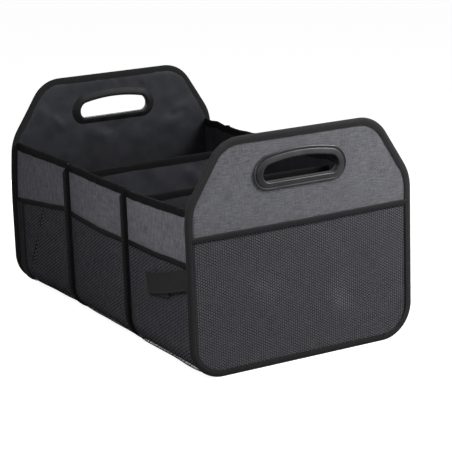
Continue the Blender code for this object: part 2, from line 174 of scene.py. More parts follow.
def span(tree, value, low, high, newLow=0.0, newHigh=1.0):
    node = tree.nodes.new("ShaderNodeMapRange")
    node.interpolation_type = "SMOOTHSTEP"
    for socket, number in zip(list(node.inputs)[1:5], (low, high, newLow, newHigh)):
        socket.default_value = number
    tree.links.new(value, node.inputs["Value"])
    return node.outputs["Result"]


def stretched(tree, vector, scales):
    node = tree.nodes.new("ShaderNodeVectorMath")
    node.operation = "MULTIPLY"
    tree.links.new(vector, node.inputs[0])
    node.inputs[1].default_value = scales
    return node.outputs[0]


def cloudy(tree, vector, scale, detail=2.0):
    node = tree.nodes.new("ShaderNodeTexNoise")
    setInputs(node, {"Scale": scale, "Detail": detail})
    tree.links.new(vector, node.inputs["Vector"])
    return node.outputs["Fac"]


def newGroup(name, inputs, outputs):
    group = bpy.data.node_groups.new(name, "ShaderNodeTree")
    for label, value in inputs:
        kind = "NodeSocketVector" if value is None else "NodeSocketFloat"
        socket = group.interface.new_socket(label, in_out="INPUT", socket_type=kind)
        if value is not None:
            socket.default_value = value
    for label in outputs:
        group.interface.new_socket(label, in_out="OUTPUT", socket_type="NodeSocketFloat")
    return group, group.nodes.new("NodeGroupInput"), group.nodes.new("NodeGroupOutput")


def useGroup(tree, name, vector, **values):
    node = tree.nodes.new("ShaderNodeGroup")
    node.node_tree = bpy.data.node_groups[name]
    tree.links.new(vector, node.inputs["Cloth Place"])
    setInputs(node, values)
    return node


addCamera()
addLamps()
addWorld()
addFloor()
scene.view_settings.view_transform = "Standard"
print("camera, lamps and floor placed")


# Node groups that several finishes share

def makePlainWeave():
    # Over and under threads, with the pitch in metres.
    tree, start, end = newGroup("plainWeave", [("Cloth Place", None), ("Pitch", 0.0006)], ["Height", "Over"])
    axes = axesOf(tree, start.outputs["Cloth Place"])
    across = join(tree, "DIVIDE", axes["X"], start.outputs["Pitch"])
    along = join(tree, "DIVIDE", axes["Y"], start.outputs["Pitch"])
    cells = plus(tree, join(tree, "FLOOR", across), join(tree, "FLOOR", along))
    over = join(tree, "ABSOLUTE", join(tree, "MODULO", cells, 2.0))
    warp = join(tree, "ABSOLUTE", join(tree, "SINE", times(tree, across, math.pi)))
    weft = join(tree, "ABSOLUTE", join(tree, "SINE", times(tree, along, math.pi)))
    rest = join(tree, "SUBTRACT", 1.0, over)
    height = plus(tree, times(tree, warp, over), times(tree, weft, rest))
    tree.links.new(height, end.inputs["Height"])
    tree.links.new(over, end.inputs["Over"])


def makeSlubs():
    # Fibres of uneven thickness that run along the cloth, and finer ones across it.
    group, start, end = newGroup("fibreSlubs", [("Cloth Place", None)], ["Slubs", "Cross", "Cloud"])
    place = start.outputs["Cloth Place"]
    thick = cloudy(group, stretched(group, place, (62, 860, 1)), 1.0, 2.0)
    thin = cloudy(group, stretched(group, place, (170, 1700, 1)), 1.0, 1.0)
    slubs = plus(group, times(group, thick, 0.60), times(group, thin, 0.40))
    cross = cloudy(group, stretched(group, place, (880, 80, 1)), 1.0, 2.0)
    group.links.new(slubs, end.inputs["Slubs"])
    group.links.new(cross, end.inputs["Cross"])
    group.links.new(cloudy(group, place, 26.0, 3.0), end.inputs["Cloud"])


def makeStitches():
    # One row of thread along the cloth: X runs along the seam, Y across it.
    inputs = [("Cloth Place", None), ("Row", 0.002), ("Pitch", 0.0035), ("Thread", 0.0005)]
    group, start, end = newGroup("threadRow", inputs, ["Mask", "Dip"])
    axes = axesOf(group, start.outputs["Cloth Place"])
    off = join(group, "ABSOLUTE", join(group, "SUBTRACT", axes["Y"], start.outputs["Row"]))
    near = join(group, "DIVIDE", off, start.outputs["Thread"])
    body = join(group, "SUBTRACT", 1.0, span(group, near, 0.6, 1.1))
    step = join(group, "FRACT", join(group, "DIVIDE", axes["X"], start.outputs["Pitch"]))
    middle = join(group, "ABSOLUTE", join(group, "SUBTRACT", step, 0.5))
    dash = join(group, "SUBTRACT", 1.0, span(group, middle, 0.32, 0.42))
    group.links.new(times(group, body, dash), end.inputs["Mask"])
    group.links.new(join(group, "SUBTRACT", 1.0, span(group, near, 0.8, 3.2)), end.inputs["Dip"])


def makeRibs():
    # Close ribs across a tape, X along it.
    group, start, end = newGroup("tapeRibs", [("Cloth Place", None), ("Pitch", 0.0012)], ["Height", "Fuzz"])
    axes = axesOf(group, start.outputs["Cloth Place"])
    turn = join(group, "DIVIDE", axes["X"], start.outputs["Pitch"])
    wave = join(group, "ABSOLUTE", join(group, "SINE", times(group, turn, math.pi)))
    group.links.new(wave, end.inputs["Height"])
    fuzz = cloudy(group, stretched(group, start.outputs["Cloth Place"], (500, 1600, 1)), 1.0, 2.0)
    group.links.new(fuzz, end.inputs["Fuzz"])


makePlainWeave()
makeSlubs()
makeStitches()
makeRibs()
print("weave, slub, stitch and rib groups made")


# Finishes

finishes = {  # slot, darkest and lightest colour as linear values, roughness
    "heatherPanel": ("heather_cloth", (0.048, 0.048, 0.054), (0.235, 0.236, 0.256), 0.82),
    "heatherWall": ("heather_cloth", (0.047, 0.047, 0.055), (0.236, 0.237, 0.266), 0.82),
    "coatedLining": ("coated_lining", (0.0215, 0.0219, 0.0262), (0.0275, 0.0279, 0.0330), 0.46),
    # A lighter copy of the coated lining, painted light, which also takes painted shade towards the bottom.
    "panelLining": ("coated_lining", (0.0265, 0.0272, 0.0312), (0.0350, 0.0357, 0.0408), 0.46),
    "netYarn": ("mesh_cloth", (0.008, 0.008, 0.0092), (0.031, 0.031, 0.035), 0.66),
    # A darker copy of the net yarn: painted shade on the side nets.
    "sideYarn": ("mesh_cloth", (0.004, 0.004, 0.005), (0.0165, 0.0158, 0.0192), 0.66),
    "edgeTape": ("binding_tape", (0.0105, 0.0105, 0.0108), (0.0240, 0.0240, 0.0244), 0.64),
    # A darker copy of the edge tape: painted shade on the rear panel's binding.
    "rearTape": ("binding_tape", (0.0078, 0.0078, 0.0080), (0.0180, 0.0180, 0.0184), 0.66),
    # A darker copy of the edge tape: painted shade on the bindings of the walls' tops and the dividers.
    "innerTape": ("binding_tape", (0.0030, 0.0032, 0.0030), (0.0078, 0.0080, 0.0078), 0.70),
    # Its light end is painted light on the ribs' outer edges, its dark end painted shade at their roots.
    "ribTape": ("binding_tape", (0.0060, 0.0061, 0.0060), (0.0400, 0.0402, 0.0400), 0.66),
    "elasticBand": ("binding_tape", (0.0085, 0.0085, 0.0090), (0.0220, 0.0220, 0.0235), 0.60),
    # A darker copy of the elastic band: painted shade on the side pockets' bands.
    "sideElastic": ("binding_tape", (0.0048, 0.0048, 0.0052), (0.0125, 0.0125, 0.0135), 0.64),
    "strapWebbing": ("webbing", (0.0060, 0.0060, 0.0059), (0.0300, 0.0300, 0.0292), 0.72),
    "loopPile": ("webbing", (0.010, 0.010, 0.011), (0.040, 0.040, 0.043), 0.85),
    "stiffBoard": ("board", (0.020, 0.020, 0.021), (0.034, 0.034, 0.036), 0.72),
    # Lit and shaded copies of one ring plastic: the outer rings' colour is lighter for painted sheen, the
    # inner rings' darker for painted shade.
    "ringPlastic": ("grommet_plastic", (0.0175, 0.0178, 0.0194), (0.0250, 0.0254, 0.0272), 0.33),
    "ringInside": ("grommet_plastic", (0.0050, 0.0050, 0.0056), (0.0090, 0.0090, 0.0099), 0.50),
}


def newFinish(name, specular):
    material, tree, shader = newMaterial(name)
    setInputs(shader, {"Roughness": finishes[name][3], "Specular IOR Level": specular})
    return material, tree, shader


def clothPlace(tree, turned=False):
    # The piece's own UV map holds the cloth's lengths in metres.
    place = tree.nodes.new("ShaderNodeTexCoord").outputs["UV"]
    if not turned:
        return place
    turn = tree.nodes.new("ShaderNodeMapping")
    # The walls' streaks are wider and run up them.
    setInputs(turn, {"Rotation": (0, 0, math.pi / 2), "Scale": (0.36, 0.95, 1)})
    tree.links.new(place, turn.inputs["Vector"])
    return turn.outputs[0]


def raiseBy(tree, shader, height, distance, strength):
    bump = tree.nodes.new("ShaderNodeBump")
    setInputs(bump, {"Strength": strength, "Distance": distance})
    tree.links.new(height, bump.inputs["Height"])
    tree.links.new(bump.outputs[0], shader.inputs["Normal"])


def colourBy(tree, shader, name, factor):
    dark, light = finishes[name][1:3]
    shade = blend(tree, factor, (*dark, 1), (*light, 1))
    tree.links.new(shade, shader.inputs["Base Color"])
    return shade


def roughBy(tree, shader, value, low, high):
    tree.links.new(span(tree, value, 0.2, 0.8, low, high), shader.inputs["Roughness"])


def paintedSeamShade(tree, across):
    # Painted shade in the groove where the cloth is sewn in at both sides of an end panel.
    far = join(tree, "ABSOLUTE", across)
    return span(tree, far, 0.1712, 0.1752, 1.0, 0.35)


def makeHeather(name, turned):
    material, tree, shader = newFinish(name, 0.10)
    place = clothPlace(tree)
    weave = useGroup(tree, "plainWeave", place, Pitch=0.00055)
    slubs = useGroup(tree, "fibreSlubs", clothPlace(tree, turned))
    fibres = plus(tree, times(tree, slubs.outputs["Slubs"], 0.72), times(tree, slubs.outputs["Cross"], 0.28))
    tone = span(tree, fibres, 0.26, 0.74, 0.09, 0.91)
    over = times(tree, weave.outputs["Over"], 0.10)
    tone = plus(tree, tone, join(tree, "SUBTRACT", over, 0.05))
    cloud = span(tree, slubs.outputs["Cloud"], 0.3, 0.7, -0.03, 0.03)
    tone = plus(tree, tone, cloud)
    if not turned:
        axes = axesOf(tree, place)
        # Painted light: the cloth is made lighter below the net's top, making up for the shade that the net
        # casts on it.
        paintedLightBehindNet = span(tree, axes["Y"], 0.196, 0.206, 0.20, 0.0)
        tone = plus(tree, tone, paintedLightBehindNet)
        # Painted shade in the seam grooves at the panel's sides.
        tone = times(tree, tone, paintedSeamShade(tree, axes["X"]))
    colourBy(tree, shader, name, tone)
    roughBy(tree, shader, slubs.outputs["Cloud"], 0.78, 0.9)
    height = plus(tree, weave.outputs["Height"], times(tree, slubs.outputs["Slubs"], 1.6))
    raiseBy(tree, shader, height, 0.00025, 0.8)
    setInputs(shader, {"Sheen Weight": 0.05, "Sheen Roughness": 0.5})
    return material


def makeLining(name, shadeTowardsBottom):
    material, tree, shader = newFinish(name, 0.08)
    place = clothPlace(tree)
    weave = useGroup(tree, "plainWeave", place, Pitch=0.00035)
    cloud = cloudy(tree, place, 34.0, 4.0)
    tone = span(tree, cloud, 0.3, 0.7)
    shade = colourBy(tree, shader, name, tone)
    if shadeTowardsBottom:  # painted shade, darker towards the bottom where an end panel's lining sits deeper down inside the bag
        axes = axesOf(tree, place)
        paintedShadeLow = span(tree, axes["Y"], 0.16, 0.30, 0.50, 1.0)
        tree.links.new(blend(tree, paintedShadeLow, (0, 0, 0, 1), shade), shader.inputs["Base Color"])
    roughBy(tree, shader, cloud, 0.38, 0.52)
    crush = times(tree, cloudy(tree, place, 60.0, 2.0), 4.0)
    height = plus(tree, times(tree, weave.outputs["Height"], 0.35), crush)
    raiseBy(tree, shader, height, 0.00012, 0.35)
    return material


def makeNetYarn(name, withSeamShade):
    material, tree, shader = newFinish(name, 0.05)
    place = tree.nodes.new("ShaderNodeTexCoord").outputs["Object"]
    fuzz = cloudy(tree, place, 1400.0, 2.0)
    cloud = cloudy(tree, place, 30.0, 2.0)
    tone = plus(tree, times(tree, fuzz, 0.7), times(tree, cloud, 0.3))
    tone = span(tree, tone, 0.35, 0.65)
    if withSeamShade:
        axes = axesOf(tree, place)
        # Painted shade in the seam grooves at the net's sides.
        tone = times(tree, tone, paintedSeamShade(tree, axes["Y"]))
    colourBy(tree, shader, name, tone)
    roughBy(tree, shader, cloud, 0.56, 0.68)
    raiseBy(tree, shader, fuzz, 0.0002, 0.6)
    return material


def makeTape(name, specular, pitch, row, litEdge=None):
    # The last value is where across the tape it is painted lightest: painted light on the fin's outer edge,
    # painted shade towards its root.
    material, tree, shader = newFinish(name, specular)
    place = clothPlace(tree)
    ribs = useGroup(tree, "tapeRibs", place, Pitch=pitch)
    thread = useGroup(tree, "threadRow", place, Row=row, Pitch=0.0036, Thread=0.00045)
    tone = plus(tree, times(tree, ribs.outputs["Fuzz"], 0.7), times(tree, ribs.outputs["Height"], 0.3))
    tone = plus(tree, span(tree, tone, 0.3, 0.75), times(tree, thread.outputs["Mask"], 0.5))
    if litEdge:
        axes = axesOf(tree, place)
        far = join(tree, "ABSOLUTE", join(tree, "SUBTRACT", axes["Y"], litEdge))
        tone = times(tree, tone, span(tree, far, 0.0030, 0.0075, 1.0, 0.15))
    colourBy(tree, shader, name, tone)
    rough = finishes[name][3]
    roughBy(tree, shader, ribs.outputs["Fuzz"], rough - 0.06, rough + 0.1)
    height = plus(tree, ribs.outputs["Height"], times(tree, thread.outputs["Mask"], 1.4))
    height = join(tree, "SUBTRACT", height, times(tree, thread.outputs["Dip"], 1.6))
    raiseBy(tree, shader, height, 0.00022, 0.9)
    return material


def makeBoard(name):
    material, tree, shader = newFinish(name, 0.30)
    place = tree.nodes.new("ShaderNodeTexCoord").outputs["Object"]
    grain = cloudy(tree, place, 900.0, 3.0)
    colourBy(tree, shader, name, span(tree, grain, 0.3, 0.7))
    roughBy(tree, shader, grain, 0.62, 0.8)
    raiseBy(tree, shader, grain, 0.0002, 0.5)
    return material


def makeRingPlastic(name, specular):
    material, tree, shader = newFinish(name, specular)
    place = tree.nodes.new("ShaderNodeTexCoord").outputs["Object"]
    grain = cloudy(tree, place, 2600.0, 2.0)
    rub = cloudy(tree, place, 60.0, 3.0)
    colourBy(tree, shader, name, span(tree, rub, 0.3, 0.7))
    rough = finishes[name][3]
    roughBy(tree, shader, rub, rough - 0.04, rough + 0.06)
    raiseBy(tree, shader, grain, 0.00005, 0.35)
    return material


makers = {  # what makes each finish, and its values after the name
    "heatherPanel": (makeHeather, False),
    "heatherWall": (makeHeather, True),
    "coatedLining": (makeLining, False),
    "panelLining": (makeLining, True),
    "netYarn": (makeNetYarn, True),
    "sideYarn": (makeNetYarn, False),
    "edgeTape": (makeTape, 0.12, 0.0011, 0.0022),
    "rearTape": (makeTape, 0.07, 0.0011, 0.0022),
    "innerTape": (makeTape, 0.05, 0.0011, 0.0022),
    # The last value is where the painted light across the rib tape is brightest.
    "ribTape": (makeTape, 0.06, 0.0011, 0.0022, 0.0118),
    "elasticBand": (makeTape, 0.12, 0.0014, 0.0080),
    "sideElastic": (makeTape, 0.06, 0.0014, 0.0080),
    "strapWebbing": (makeTape, 0.12, 0.0048, 0.0030),
    "loopPile": (makeTape, 0.10, 0.0016, 0.0020),
    "stiffBoard": (makeBoard,),
    "ringPlastic": (makeRingPlastic, 0.45),
    "ringInside": (makeRingPlastic, 0.12),
}
look = {name: make(name, *values) for name, (make, *values) in makers.items()}
print("finishes made:", len(look))


# Mesh helpers

def addMesh(kind, name, **values):
    bpy.ops.object.select_all(action="DESELECT")
    getattr(bpy.ops.mesh, "primitive_%s_add" % kind)(**values)
    bpy.context.object.name = name
    return bpy.context.object


def openMesh():
    bpy.ops.object.mode_set(mode="EDIT")
    bpy.ops.mesh.select_all(action="SELECT")


def shutMesh():
    bpy.ops.object.mode_set(mode="OBJECT")


def useOnly(obj):
    bpy.ops.object.select_all(action="DESELECT")
    obj.select_set(True)
    bpy.context.view_layer.objects.active = obj


def readPoints(obj):
    co = np.zeros(len(obj.data.vertices) * 3)
    obj.data.vertices.foreach_get("co", co)
    return co.reshape(-1, 3)


def writePoints(obj, co):
    obj.data.vertices.foreach_set("co", np.ascontiguousarray(co, dtype=float).ravel())
    obj.data.update()


def writeCloth(obj, cloth):
    layer = obj.data.uv_layers.active or obj.data.uv_layers.new(name="UVMap")
    index = np.zeros(len(obj.data.loops), dtype=np.int32)
    obj.data.loops.foreach_get("vertex_index", index)
    layer.data.foreach_set("uv", np.ascontiguousarray(cloth[index], dtype=np.float32).ravel())


def useModifier(obj, kind, **values):
    modifier = obj.modifiers.new(kind.title(), kind)
    for key, value in values.items():
        setattr(modifier, key, value)
    useOnly(obj)
    bpy.ops.object.modifier_apply(modifier=modifier.name)


def closeUp(obj):
    # Doubles merged first, then every face turned outward.
    useOnly(obj)
    openMesh()
    bpy.ops.mesh.remove_doubles(threshold=0.00002)
    bpy.ops.mesh.normals_make_consistent(inside=False)
    shutMesh()


def layGrid(name, across, along, place):
    # A grid laid on a surface: place takes two shares, and gives points and cloth lengths.
    obj = addMesh("grid", name, x_subdivisions=across, y_subdivisions=along, size=1)
    flat = readPoints(obj)
    spots, cloth = place(flat[:, 0] + 0.5, flat[:, 1] + 0.5)
    writePoints(obj, np.stack(spots, 1))
    writeCloth(obj, np.stack(cloth, 1))
    return obj


def thicken(obj, thickness):
    closeUp(obj)
    useModifier(obj, "SOLIDIFY", thickness=thickness, offset=0.0, use_even_offset=False)
    closeUp(obj)


settle = {  # how the soft bag stands out from its flat plan, in metres
    "rearLeftFoot": 0.0055,
    "rearTop": 0.0024,
}


def settleCloth(obj):
    co = readPoints(obj)
    x, y, z = co.T
    rear = ease((-x - 0.12) / 0.17)
    foot = ease((0.27 - z) / 0.13) * ease((-y - 0.09) / 0.085)
    y = y - settle["rearLeftFoot"] * rear * foot + settle["rearTop"] * rear * ease((z - 0.20) / 0.10)
    writePoints(obj, np.stack([x, y, z], 1))


def finishPiece(obj, finish, replaced=(), angle=50):
    settleCloth(obj)
    useOnly(obj)
    bpy.ops.object.shade_smooth_by_angle(angle=math.radians(angle))
    obj.data.materials.clear()
    obj.data.materials.append(look[finish])
    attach(obj, "root")
    if replaced:
        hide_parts(*replaced)
    return obj


def makeSheet(name, across, along, place, thick, finish, replaced):
    # A closed sheet laid on a surface.
    obj = layGrid(name, across, along, place)
    thicken(obj, thick)
    finishPiece(obj, finish, [replaced])
    return obj


def ease(share):
    share = np.clip(share, 0, 1)
    return share * share * (3 - 2 * share)


def swell(a, b, scale, seed, waves=7):
    # Soft uneven waves from about -1 to 1, the same at each run.
    dice = np.random.default_rng(seed)
    total = np.zeros_like(a)
    for _ in range(waves):
        angle, phase = dice.uniform(0, 2 * math.pi, 2)
        pace = 2 * math.pi / (scale * dice.uniform(0.7, 1.6))
        total += np.sin((a * math.cos(angle) + b * math.sin(angle)) * pace + phase)
    return total / math.sqrt(waves * 2)


def folds(a, b, lines):
    # Ridges and dents: each runs between two places in mm, with a width and a height in mm.
    total = np.zeros_like(a)
    for startA, startB, endA, endB, width, height in lines:
        runA, runB = (endA - startA) / 1000, (endB - startB) / 1000
        long = math.hypot(runA, runB)
        fromA, fromB = a - startA / 1000, b - startB / 1000
        along = (fromA * runA + fromB * runB) / long ** 2
        off = (fromA * runB - fromB * runA) / long
        body = ease(along / 0.35) * ease((1 - along) / 0.35)
        total += height / 1000 * body * np.exp(-(off * 1000 / width) ** 2)
    return total


# Outlines: corners are (y, z, radius), counter-clockwise

def edgesAt(corners, i):
    # A corner and the directions of the edges before and after it.
    here = Vector(corners[i][:2])
    after = Vector(corners[(i + 1) % len(corners)][:2]) - here
    return here, (here - Vector(corners[i - 1][:2])).normalized(), after.normalized()


def outline(corners, arcSteps, straightSteps):
    # Points round the outline and the outward direction at each, closed by the first one.
    spots, outward = [], []
    for i, (_, _, radius) in enumerate(corners):
        here, before, after = edgesAt(corners, i)
        turn = before.angle(after)
        start = math.atan2(-before.x, before.y)
        centre = here - before * (radius * math.tan(turn / 2)) - Vector((before.y, -before.x)) * radius
        arc = []
        for angle in np.linspace(start, start + turn, arcSteps + 1):
            out = Vector((math.cos(angle), math.sin(angle)))
            arc.append((centre + out * radius, out))
        if spots:
            spots, outward = bridgeGap(spots, outward, arc[0], straightSteps)
        spots += [tuple(p) for p, _ in arc]
        outward += [tuple(n) for _, n in arc]
    first = (Vector(spots[0]), Vector(outward[0]))
    spots, outward = bridgeGap(spots, outward, first, straightSteps)
    return np.array(spots + spots[:1]), np.array(outward + outward[:1])


def bridgeGap(spots, outward, target, steps):
    last = Vector(spots[-1])
    for step in range(1, steps):
        spots.append(tuple(last + (target[0] - last) * step / steps))
        outward.append(tuple(target[1]))
    return spots, outward


def lengths(spots):
    return np.concatenate([[0], np.cumsum(np.linalg.norm(np.diff(spots, axis=0), axis=1))])


def pairAt(at, path, pairs):
    # Both columns of a list of pairs, read at a distance along it.
    return np.interp(at, path, pairs[:, 0]), np.interp(at, path, pairs[:, 1])


def heightAt(x, tops):
    # A height from pairs of place and height in mm.
    places, heights = zip(*tops)
    return np.interp(x * 1000, places, heights) / 1000


def insetCorners(corners, inset):
    moved = []
    for i, (y, z, radius) in enumerate(corners):
        _, before, after = edgesAt(corners, i)
        sideBefore, sideAfter = Vector((-before.y, before.x)), Vector((-after.y, after.x))
        shift = (sideBefore + sideAfter) * (inset / (1 + sideBefore.dot(sideAfter)))
        moved.append((y + shift.x, z + shift.y, max(radius - inset, 0.001)))
    return moved


# Shapes that several pieces share

ways = {"front": 1, "rear": -1}  # which way each end of the bag faces along X
sideWords = {-1: "left", 1: "right"}  # the two walls by the sign of their y
ringLow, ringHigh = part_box("front_handle_outer_ring")
bindingLow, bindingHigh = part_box("front_panel_binding")
panel = {
    "half": bindingHigh.y,
    "height": bindingHigh.z,
    "middle": (bindingLow.x + bindingHigh.x) / 2,
    "shoulder": 0.2463,
    "topWidth": 0.2566,
    "footRadius": 0.052,
    "shoulderRadius": 0.070,
    "topRadius": 0.055,
}
handHole = {  # the two rings don't sit quite alike, y of the middle and sizes in metres
    "front": {"middle": -0.0015, "width": 0.1252, "bottom": 0.2674, "flangeMiddle": -0.0018},
    "rear": {"middle": 0.0003, "width": 0.1268, "bottom": 0.2666, "flangeMiddle": 0.0014},
    "shoulder": 0.2912, "arch": 0.0082, "radius": 0.0113,
    "flangeWidth": ringHigh.y - ringLow.y, "flangeBottom": 0.2574, "flangeShoulder": 0.3008,
    "flangeArch": 0.0104, "flangeRadius": 0.0215,
}
tub = {
    "wall": 0.176,  # y of the walls' outer face
    "foot": 0.038,
    "lift": 0.002,
    "end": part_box("front_left_top_binding")[1].x,
    "rib": (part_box("front_rib_binding")[0].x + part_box("front_rib_binding")[1].x) / 2,
}
tub["flat"] = tub["wall"] - tub["foot"]  # half the flat part of the base
tub["arc"] = tub["foot"] * math.pi / 2
wallTops = {  # height of the walls' upper edge along the bag, both in mm
    -1: [(-296, 240.8), (-266, 240.2), (-234, 240.6), (-218, 240.8), (-202, 241.3), (-186, 242.6),
         (-170, 243.4), (-140, 243.1), (-125, 243.5), (-105, 243.2), (-96, 240.6), (-74, 240.3), (-30, 239.4),
         (11, 239.2), (52, 239.7), (79, 239.7), (96, 239.4), (102, 238.5), (131, 238.2), (146, 239.2),
         (168, 239.6), (199, 240.2), (214, 241.0), (244, 241.9), (273, 243.1), (296, 243.3)],
    1: [(-296, 237.0), (-275, 237.4), (-257, 238.3), (-247, 239.0), (-236, 237.2), (-226, 235.6),
        (-216, 237.4), (-210, 238.2), (-206, 236.2), (-192, 236.4), (-158, 237.2), (-122, 239.4),
        (-102, 240.0), (0, 238.0), (60, 241.5), (99, 245.0), (125, 244.0), (190, 240.5), (296, 242.0)],
}
rightCorners = [
    (panel["half"], 0, panel["footRadius"]),
    (panel["half"], panel["shoulder"], panel["shoulderRadius"]),
    (panel["topWidth"] / 2, panel["height"], panel["topRadius"]),
]
panelCorners = rightCorners + [(-y, z, radius) for y, z, radius in rightCorners[::-1]]
panelSpots, panelOutward = outline(panelCorners, 20, 30)


def halfAt(z, inset):
    # Half the width of an end panel at a height.
    spots, _ = outline(insetCorners(panelCorners, inset), 20, 30)
    right = spots[(spots[:, 0] > 0)]
    right = right[np.argsort(right[:, 1], kind="stable")]
    return np.interp(z, right[:, 1], right[:, 0])


def edgeDistance(y, z):
    # How far inside an end panel's outline a place is.
    nearest = np.full_like(y, 1.0)
    for (spotY, spotZ), (outY, outZ) in zip(panelSpots, panelOutward):
        nearest = np.minimum(nearest, -((y - spotY) * outY + (z - spotZ) * outZ))
    return nearest


def archedOutline(middle, width, bottom, shoulder, arch, radius, grow=0.0):
    half = width / 2
    places = ((half, bottom), (half, shoulder), (-half, shoulder), (-half, bottom))
    corners = [(*place, radius) for place in places]
    corners = insetCorners(corners, -grow) if grow else corners
    spots, _ = outline(corners, 10, 14)
    rise = arch * np.clip(1 - (spots[:, 0] / half) ** 2, 0, 1)
    spots[:, 1] += rise * ease((spots[:, 1] - bottom) / (shoulder - bottom))
    spots[:, 0] += middle
    return spots


def holeOutline(kind, grow=0.0):
    own = handHole[kind]
    return archedOutline(own["middle"], own["width"], own["bottom"], handHole["shoulder"],
                         handHole["arch"], handHole["radius"], grow)


def flangeOutline(kind):
    return archedOutline(handHole[kind]["flangeMiddle"], handHole["flangeWidth"], handHole["flangeBottom"],
                         handHole["flangeShoulder"], handHole["flangeArch"], handHole["flangeRadius"])


def tubPoint(run, out):
    # A place on the walls and base: run is measured round them from the middle of the base.
    far = np.abs(run)
    angle = np.clip((far - tub["flat"]) / tub["foot"], 0, math.pi / 2)
    y = np.minimum(far, tub["flat"]) + (tub["foot"] + out) * np.sin(angle)
    z = tub["lift"] + tub["foot"] - (tub["foot"] + out) * np.cos(angle)
    z = z + np.maximum(far - tub["flat"] - tub["arc"], 0)
    return y * np.sign(run), z


def runAt(z):
    # The run at which a wall reaches a height above its foot.
    return tub["flat"] + tub["arc"] + (z - tub["lift"] - tub["foot"])


def wallTopAt(x, side):
    return heightAt(x, wallTops[side])


def wallGive(x, run):
    # How far a wall stands out from its flat place, in metres.
    far = np.abs(run)
    turn = np.clip((far - tub["flat"]) / tub["foot"], 0, math.pi / 2)
    fin = 0.002 + 0.0005 * np.sin(turn)
    flare = (fin - 0.0012) * ease((np.abs(x) - (tub["end"] - 0.012)) / 0.012)
    up = ease((far - tub["flat"]) / 0.10)
    left = 0.0011 * swell(x, far, 0.16, 11) + 0.0008 * swell(x, far * 0.4, 0.045, 12)
    right = 0.0011 * swell(x, far, 0.15, 21) + 0.0008 * swell(x, far * 0.4, 0.04, 22)
    bow = np.where(np.sign(run) < 0, left, right)
    pinned = ease(np.abs(np.abs(x) - tub["rib"]) / 0.03)
    return flare + bow * up * pinned * ease((tub["end"] - np.abs(x)) / 0.03)


print("shared shapes worked out")


# Pieces on the two end panels. Front ones are made in place, rear ones turned half round.

panelCloth = {
    "skin": 0.00150,  # the cloth's middle, out from the panel's middle
    "rim": 0.0009,  # the same at the edge, under the binding
    "thick": 0.0007,
    "inset": 0.0016,  # from the outline
    "holeSeam": 0.0030,  # how much wider than the hand hole its cut is
    "gap": 0.0002,  # between the first row of the grid and the inset
    "netTop": 0.213,  # the cloth lies flat behind the net, below this height
    "ringMiddle": 0.281,  # the rings hold the cloth still round this height
    "step": 0.0048,
}
frontFaceFolds = [  # from y, z to y, z, then width and height, all in mm
    (-150, 214, -60, 245, 9, 0.5), (-30, 238, 90, 222, 8, -0.4), (60, 246, 150, 226, 9, 0.5),
    (-110, 300, -80, 330, 7, 0.5), (110, 262, 150, 240, 8, 0.5),
]
rearLiningFolds = [
    (-150, 300, -118, 272, 9, 0.9), (-118, 282, -90, 248, 5, 1.3), (-64, 256, -2, 226, 9, 1.2),
    (32, 254, -28, 240, 5, -1.5), (156, 276, 70, 224, 11, 1.6), (142, 262, 100, 246, 6, -1.5),
    (-30, 333, -24, 314, 4, 0.8), (-4, 330, 4, 312, 4, 0.9), (24, 328, 30, 310, 4, 0.8),
    (50, 326, 64, 306, 4, 0.9), (-140, 190, -60, 150, 16, 0.9), (40, 190, 120, 160, 16, -0.9),
]


def clothOnPanel(kind, word, side, wrinkles, seed, finish, swellHeight, slack):
    # side is 1 for the cloth outside and -1 for the lining inside.
    turned, inset = ways[kind], panelCloth["inset"]
    face, rim = side * panelCloth["skin"], side * panelCloth["rim"]
    across = round(2 * panel["half"] / panelCloth["step"])
    along = round(panel["height"] / panelCloth["step"])

    def place(u, v):
        z = inset + panelCloth["gap"] + v * (panel["height"] - 2 * inset - 2 * panelCloth["gap"])
        y = (2 * u - 1) * halfAt(z, inset)
        toward = ease((edgeDistance(y, z) - 0.002) / 0.013)
        give = folds(y, z, wrinkles) + swellHeight * swell(y, z, 0.11, seed)
        give += 0.3 * swellHeight * swell(y, z, 0.035, seed + 1)
        fromRing = np.hypot(np.maximum(np.abs(y) - 0.05, 0), z - panelCloth["ringMiddle"])
        hold = ease((fromRing - 0.02) / 0.05)
        give = side * np.maximum(side * give, -0.0003 - slack) + side * slack
        if side > 0:
            give = np.where(z < panelCloth["netTop"], np.clip(give, -0.0003, 0.0002), give)
        x = panel["middle"] + rim + (face - rim) * toward + give * toward * (0.25 + 0.75 * hold)
        return (x * turned, y * turned, z), (y, z)

    obj = layGrid(kind + "_panel" + word, across, along, place)
    thicken(obj, panelCloth["thick"])
    cutHole(obj, kind, turned)
    finishPiece(obj, finish, [kind + ("_panel_fabric" if side > 0 else "_panel_lining")])


def cutHole(obj, kind, turned):
    spots = holeOutline(kind, panelCloth["holeSeam"])[:-1]
    cutter = addMesh("circle", "holeCutter", vertices=len(spots), radius=1, fill_type="NGON")
    start = panel["middle"] - 0.012
    places = np.stack([np.full(len(spots), start * turned), spots[:, 0] * turned, spots[:, 1]], 1)
    writePoints(cutter, places)
    openMesh()
    bpy.ops.mesh.extrude_region_move(TRANSFORM_OT_translate={"value": (0.024 * turned, 0, 0)})
    shutMesh()
    closeUp(cutter)
    useModifier(obj, "BOOLEAN", operation="DIFFERENCE", object=cutter, solver="EXACT")
    bpy.data.objects.remove(cutter, do_unlink=True)


